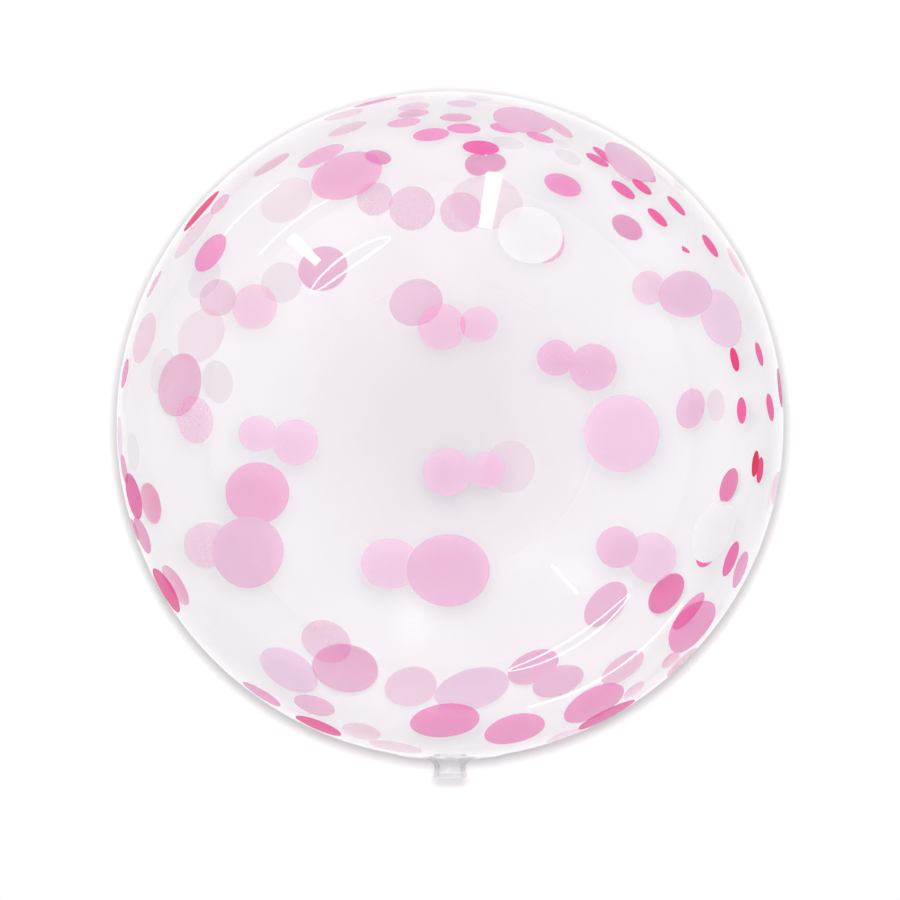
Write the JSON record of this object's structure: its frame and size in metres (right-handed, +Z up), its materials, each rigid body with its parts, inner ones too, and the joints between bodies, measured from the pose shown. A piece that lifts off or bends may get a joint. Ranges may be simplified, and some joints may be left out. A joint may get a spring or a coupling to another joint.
{
  "type": "clear bubble balloon",
  "caption": "Clear round bubble balloon printed with pink confetti dots, lying on its side, with a gathered neck and a short flat sealed tail.",
  "frame": {"origin": "middle of the flat spot that the balloon lies on", "axes": "+Z up, out of the front of the bubble; -Y along the neck, towards the tail; +X to the right"},
  "size_m": [0.5078, 0.5235, 0.5059],
  "materials": {
    "clear_film": "clear glossy stretch film, printed with translucent pink dots of several depths"
  },
  "bodies": {
    "root": {"balloon_film": "clear_film"}
  },
  "joints": []
}
